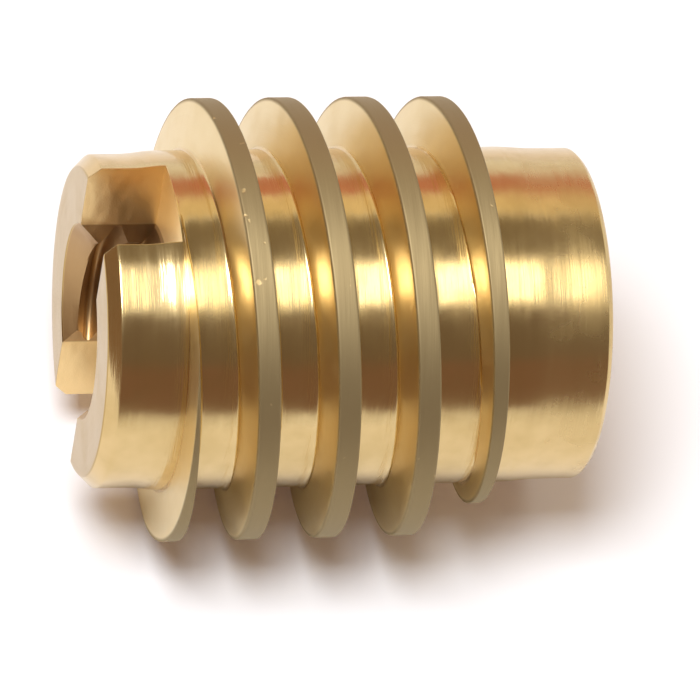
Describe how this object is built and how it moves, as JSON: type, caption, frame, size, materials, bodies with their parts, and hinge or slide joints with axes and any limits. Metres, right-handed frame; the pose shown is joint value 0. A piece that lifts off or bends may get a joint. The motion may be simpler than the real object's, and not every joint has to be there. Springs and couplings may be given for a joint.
{
  "type": "threaded wood insert",
  "caption": "Brass threaded insert for wood: a slotted sleeve with a coarse knife thread outside and a machine thread bore through it, standing on its plain pilot end.",
  "frame": {"origin": "centre of the foot, the flat face at the plain pilot end", "axes": "+Z along the insert's axis, from the pilot end up to the slotted end; +X along the driver slot"},
  "size_m": [0.011, 0.011, 0.0127],
  "materials": {
    "brass": "bright turned brass with fine tool rings, slightly dulled"
  },
  "bodies": {
    "root": {"insert_body": "brass"}
  },
  "joints": []
}
